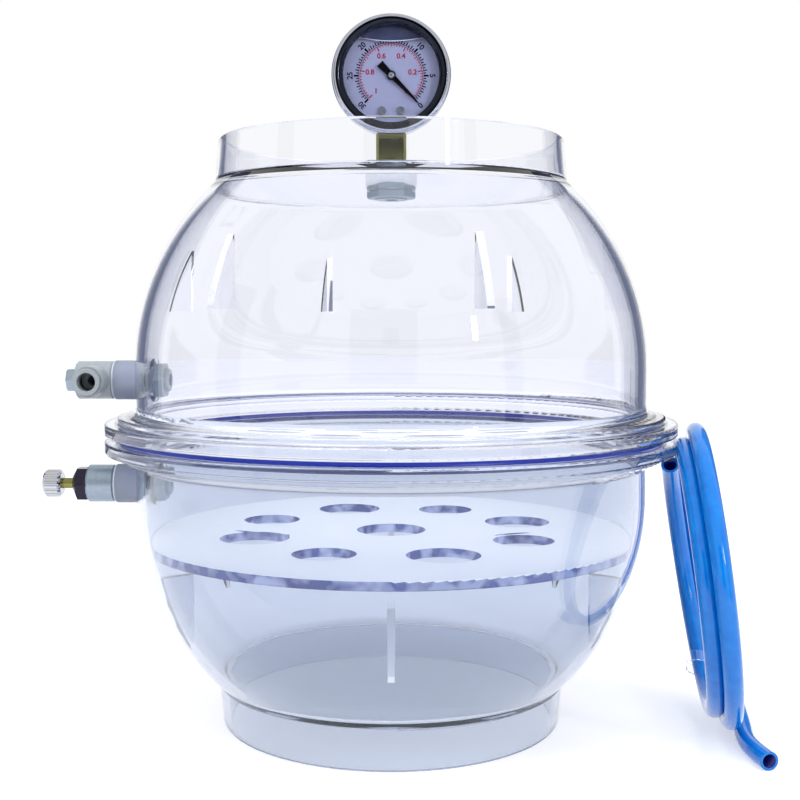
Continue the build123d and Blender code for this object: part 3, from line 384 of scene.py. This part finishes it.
def scale_angle(share):
    """The dial's angle in degrees at this share of the full sweep."""
    return zero_angle + full_sweep * share


def black_scale(bm):
    """60 outward ticks, longer at every second and tenth, on an arc."""
    matrix = gauge_matrix(dial_front - print_lift)
    steps = 60
    for step in range(steps + 1):
        outer = 20.9 if step % 10 == 0 else 20.3 if step % 2 == 0 else 19.6
        width = 1.0 if step % 10 == 0 else 0.6
        tick(bm, scale_angle(step / steps), tick_inner, outer, width, matrix)
    ring(bm, tick_inner, tick_inner + 0.25, matrix, print_thickness, zero_angle, full_sweep)


def red_scale(bm):
    """50 inward ticks, longer at every fifth and tenth, on an arc."""
    matrix = gauge_matrix(dial_front - print_lift)
    steps = 50
    for step in range(steps + 1):
        inner = 14.9 if step % 10 == 0 else 15.8 if step % 5 == 0 else 16.3
        width = 0.6 if step % 10 == 0 else 0.4
        tick(bm, scale_angle(step / steps), inner, red_arc_radius, width, matrix)
    ring(bm, red_arc_radius, red_arc_radius + 0.35, matrix, print_thickness, zero_angle, full_sweep)


black_marks = [mesh_piece("dial_black_print", black_print, black_scale, smooth=False)]
for number in range(7):
    angle = scale_angle(number / 6)
    text = str(5 * number)
    black_marks.append(dial_text(text, angle, black_numbers_radius, angle - 90, 4.2, black_print))
red_marks = [mesh_piece("dial_red_print", red_print, red_scale, smooth=False)]
for number, text in enumerate(("0", "0.2", "0.4", "0.6", "0.8", "1")):
    red_marks.append(dial_text(text, scale_angle(number / 5), red_numbers_radius, 0, 4.0, red_print))
for marks, name in ((black_marks, "dial_black_print"), (red_marks, "dial_red_print")):
    piece = join(marks, name)
    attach(piece, "lid")


def turned_ring(bm, outline, matrix, steps=96):
    """A closed outline of (radius, height) in millimetres, turned about the matrix's Z."""
    loops = []
    for step in range(steps):
        angle = 2 * pi * step / steps
        spots = [Vector((r * mm * cos(angle), r * mm * sin(angle), h * mm)) for r, h in outline]
        loops.append([bm.verts.new(matrix @ spot) for spot in spots])
    for step in range(steps):
        here, there = loops[step], loops[(step + 1) % steps]
        for place in range(len(outline)):
            after = (place + 1) % len(outline)
            bm.faces.new((here[place], there[place], there[after], here[after]))


# Painted shade: a dark polished ring over the bezel's inner slope, where it lies in shade.
ring_outline = [(26.6, -2.3), (27.2, -2.3), (30.9, -0.1), (30.9, 0.25), (30.5, 0.35), (27.0, -0.9)]
shade_ring_piece = mesh_piece(
    "bezel_shade_ring", bezel_shade_steel, lambda bm: turned_ring(bm, ring_outline, gauge_matrix(bezel_front))
)
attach(shade_ring_piece, "lid")

cap_outline = [(0.05, -0.3), (2.2, -0.3), (2.3, 0.2), (2.0, 0.75), (0.9, 0.95), (0.05, 0.95)]
pointer_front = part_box("gauge_pointer")[0][1]
hub_cap = mesh_piece(
    "pointer_hub_cap", steel, lambda bm: turned_ring(bm, cap_outline, gauge_matrix(pointer_front), 48)
)
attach(hub_cap, "needle")

fill_height = 20.4
fill_radius = 27.2
fill_sag = 1.6
fill_chord = sqrt(fill_radius**2 - fill_height**2)


def fill_edge(half, steps=24):
    """Places from right to left along the filling's sagging edge."""
    places = [half * (1 - 2 * step / steps) for step in range(steps + 1)]
    return [(x, fill_height - fill_sag * cos(pi * x / half / 2)) for x in places]


def air_segment(bm):
    """A dark sheet where the air bubble sits between the filling and the bezel: painted shade."""
    lower = fill_edge(fill_chord)
    upper = [(x, sqrt(fill_radius**2 - x**2)) for x, _ in reversed(lower[1:-1])]
    slab(bm, lower + upper, gauge_matrix(window_back + 0.5 * mm), 0.1 * mm)


def fill_line(bm):
    """The bright line along the filling's surface."""
    half = fill_chord - 0.3
    upper = fill_edge(half)
    lower = [(x, y - 0.15 - 0.35 * cos(pi * x / half / 2)) for x, y in reversed(upper)]
    slab(bm, upper + lower, gauge_matrix(window_back + 0.4 * mm), 0.1 * mm)


fill_pieces = (("air_shade_over_filling", air_painted_shade, air_segment), ("filling_line", white_line, fill_line))
for name, material, build in fill_pieces:
    piece = mesh_piece(name, material, build, smooth=False)
    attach(piece, "lid")

# --- Hose: a coil of 2.43 turns that stands on its edge against the flange, and its tail along the floor
hose_diameter = 10.0
coil_radius = 84.5
coil_turns = 2.43
coil_step_in = 7.1
coil_step_across = 7.7
coil_place = (172.3, -42.5)
coil_lean = radians(8.5)
coil_yaw = radians(9.4)
points_per_turn = 24
bore_radius = 3.6
bore_depth = 8.0
tail_route = [
    (190.4, -62.0, 5.0),
    (190.0, -79.0, 5.0),
    (193.2, -95.0, 5.0),
]


def hose_route():
    """Points of the hose from the start of its inner turn, at the flange, to its open end, in millimetres."""
    up = Vector((-sin(coil_lean), 0, cos(coil_lean)))
    near = Vector((-sin(coil_yaw), -cos(coil_yaw), 0))
    out = up.cross(near).normalized()
    centre = Vector((*coil_place, hose_diameter / 2 + coil_radius * cos(coil_lean)))
    first = pi + coil_turns * 2 * pi
    steps = round(coil_turns * points_per_turn)
    points = []
    for step in range(steps + 1):
        share = step / steps
        angle = first - share * coil_turns * 2 * pi
        radius = coil_radius - coil_step_in * coil_turns * (1 - share)
        across = coil_step_across * coil_turns * (share - 0.5)
        points.append(centre + radius * (cos(angle) * up + sin(angle) * near) + across * out)
    return points + [Vector(point) for point in tail_route]


def open_spline(name, points, radius):
    """A curve of one open, smooth spline with these control points, in millimetres."""
    curve = bpy.data.curves.new(name, "CURVE")
    curve.dimensions = "3D"
    spline = curve.splines.new("NURBS")
    spline.points.add(len(points) - 1)
    for control, point in zip(spline.points, points):
        control.co = (*(point * mm), 1.0)
    spline.order_u = 3
    spline.use_endpoint_u = True
    spline.resolution_u = 6
    curve.bevel_depth = radius * mm
    curve.bevel_resolution = 8
    piece = bpy.data.objects.new(name, curve)
    scene.collection.objects.link(piece)
    return piece


route = hose_route()
hose = open_spline("blue_hose", route, hose_diameter / 2)
hose.data.materials.append(blue_hose)
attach(hose, "lower_chamber")
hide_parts("hose_coil", "hose_tail")


def hose_mouth(name, place, direction):
    """Cut face of the hose with its rounded rims, and the bore behind it, darkened with painted shade."""
    matrix = Matrix.Translation(place * mm) @ direction.to_track_quat("Z", "Y").to_matrix().to_4x4()
    outer = hose_diameter / 2
    rim = [(outer - 0.5, -0.6), (outer + 0.02, -0.6), (outer + 0.02, -0.15), (outer - 0.25, 0.1),
           (bore_radius + 0.25, 0.1), (bore_radius, -0.15), (bore_radius, -0.6)]
    face = mesh_piece(name + "_rim", blue_hose, lambda bm: turned_ring(bm, rim, matrix, 48))
    skin = 0.4
    lining = [(bore_radius, -0.1), (bore_radius, -bore_depth), (skin, -bore_depth - skin),
              (skin, -bore_depth - 1.0), (bore_radius + skin, -bore_depth - 0.6), (bore_radius + skin, -0.1)]
    bore = mesh_piece(name + "_bore", navy_bore, lambda bm: turned_ring(bm, lining, matrix, 48))
    for piece in (face, bore):
        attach(piece, "lower_chamber")
    return [face.name, bore.name]


ends = hose_mouth("hose_front_end", route[-1], route[-1] - route[-2]) + hose_mouth(
    "hose_flange_end", route[0], route[0] - route[1])

# --- Painted highlight: a white, glowing skin on the fin that stands nearest the camera
fin_width = 3.4
fin_bottom, fin_top = 55.0, 92.0
fin_face = 121.0
highlight_gap = 0.02
highlight_thickness = 0.25


def fin_highlight_skin(bm):
    """A skin on the fin's inner face, white and glowing: a painted highlight."""
    matrix = Matrix.Translation((0, -(fin_face - highlight_gap) * mm, 0)) @ Matrix.Rotation(radians(90), 4, "X")
    half = fin_width / 2
    corners = [(-half, fin_bottom), (half, fin_bottom), (half, fin_top), (-half, fin_top)]
    slab(bm, corners, matrix, -highlight_thickness * mm)


# The fin's painted highlight.
frost_and_highlight = mesh_piece("front_fin_highlight", fin_painted_highlight, fin_highlight_skin, smooth=False)
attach(frost_and_highlight, "lower_chamber")

# --- Stage: pale floor, even light and the camera
floor_size = 12.0
floor_glow = 0.5
object_light = 0.75
white = 1.0
focal_length = 54.95
camera_place = (0.0, -0.7043, 0.2326)
camera_tilt = radians(86)


def make_floor():
    """A pale floor that keeps the object's shadow and looks white elsewhere."""
    bpy.ops.mesh.primitive_plane_add(size=floor_size, location=(0, 0, 0))
    floor = bpy.context.object
    floor.name = "studio_floor"
    material, tree = new_material("studio_floor_paint")
    paint = add_node(tree, "BsdfDiffuse", {"Color": linear("#e6e6e8")})
    glow = add_node(tree, "Emission", {"Color": linear("#ffffff"), "Strength": floor_glow})
    both = add_node(tree, "AddShader", None, i0=(paint, 0), i1=(glow, 0))
    seen = seen_directly(tree)
    surface = add_node(tree, "MixShader", None, Fac=(seen, 0), i1=(paint, 0), i2=(both, 0))
    finish_material(tree, surface)
    floor.data.materials.append(material)


def seen_directly(tree):
    """1 for rays that show the stage: straight, mirrored or through something clear."""
    path = add_node(tree, "LightPath")
    first = add_math(tree, "MAXIMUM", (path, "Is Camera Ray"), (path, "Is Glossy Ray"))
    return add_math(tree, "MAXIMUM", (first, 0), (path, "Is Transmission Ray"))


def light_world():
    """White where it is seen, and softer as light on the object."""
    world = bpy.data.worlds.new("studio_world")
    scene.world = world
    world.use_nodes = True
    tree = world.node_tree
    tree.nodes.clear()
    soft = add_node(tree, "Background", {"Color": linear("#f2f4ff"), "Strength": object_light})
    plain = add_node(tree, "Background", {"Color": linear("#ffffff"), "Strength": white})
    seen = seen_directly(tree)
    mixed = add_node(tree, "MixShader", None, Fac=(seen, 0), i1=(soft, 0), i2=(plain, 0))
    output = tree.nodes.new("ShaderNodeOutputWorld")
    tree.links.new(mixed.outputs[0], output.inputs["Surface"])


def add_card(name, place, target, size, shade, through=False):
    """Something dark for mirror-like surfaces to show. Where through is set, clear ones show it too."""
    x, y = size[0] / 2, size[1] / 2
    mesh = bpy.data.meshes.new(name)
    corners = [(-x, -y, 0), (x, -y, 0), (x, y, 0), (-x, y, 0)]
    mesh.from_pydata(corners, [], [(0, 1, 2, 3)])
    aim = Vector(target) - Vector(place)
    mesh.transform(Matrix.Translation(place) @ aim.to_track_quat("Z", "Y").to_matrix().to_4x4())
    material, tree = new_material(name)
    paint = add_node(tree, "Emission", {"Color": linear(shade), "Strength": 1.0})
    finish_material(tree, paint)
    mesh.materials.append(material)
    card = bpy.data.objects.new(name, mesh)
    scene.collection.objects.link(card)
    card.visible_camera = False
    card.visible_diffuse = False
    card.visible_transmission = through
    card.visible_volume_scatter = False
    card.visible_shadow = False


def add_lamp(name, place, target, size, power, glints=False):
    """A rectangular lamp. Glossy surfaces mirror it only where glints is set."""
    lamp = bpy.data.lights.new(name, "AREA")
    lamp.shape = "RECTANGLE"
    lamp.size, lamp.size_y = size
    lamp.energy = power
    holder = bpy.data.objects.new(name, lamp)
    holder.location = place
    aim = Vector(target) - Vector(place)
    holder.rotation_euler = aim.to_track_quat("-Z", "Y").to_euler()
    scene.collection.objects.link(holder)
    holder.visible_glossy = glints
    holder.visible_transmission = False


def place_camera():
    """The camera in front of the chamber, looking slightly down."""
    view = bpy.data.cameras.new("front_camera")
    view.sensor_width = 36.0
    view.lens = focal_length
    view.shift_x = 0.011
    view.clip_start = 0.01
    camera = bpy.data.objects.new("front_camera", view)
    camera.location = camera_place
    camera.rotation_euler = (camera_tilt, 0, 0)
    scene.collection.objects.link(camera)
    scene.camera = camera


deselect_all()
make_floor()
light_world()
add_lamp("left_softbox", (-0.9, -0.9, 1.1), (0, 0, 0.2), (0.7, 0.7), 7.0)
add_lamp("right_softbox", (1.1, -0.7, 0.9), (0, 0, 0.2), (0.6, 0.9), 4.0)
add_lamp("hose_glint", (0.75, -1.1, 0.62), (0.18, -0.1, 0.1), (0.05, 0.22), 2.4, glints=True)
add_lamp("top_softbox", (0.1, -0.1, 1.7), (0, 0, 0.1), (1.0, 1.0), 9.0)
add_card("front_card", (-0.1, -1.85, 0.6), (0, 0, 0.3), (0.9, 1.0), "#20222c")
add_card("window_card", (0, -1.8, 0.72), (0, 0, 0.365), (0.21, 0.22), "#2a2d38", through=True)
add_card("left_card", (-1.3, -0.5, 0.35), (0, 0, 0.25), (0.3, 1.2), "#1c1e28")
add_card("right_card", (1.2, -1.0, 0.4), (0, 0, 0.3), (0.22, 1.2), "#262a36")
add_card("left_back_card", (-1.5, 1.2, 0.5), (-1.5, 0, 0.5), (1.6, 2.0), "#6d748c", through=True)
add_card("right_back_card", (1.5, 1.2, 0.5), (1.5, 0, 0.5), (1.6, 2.0), "#6d748c", through=True)
place_camera()
scene.view_settings.view_transform = "Standard"
scene.cycles.max_bounces = 64
scene.cycles.transmission_bounces = 64
scene.cycles.glossy_bounces = 12
scene.cycles.transparent_max_bounces = 32
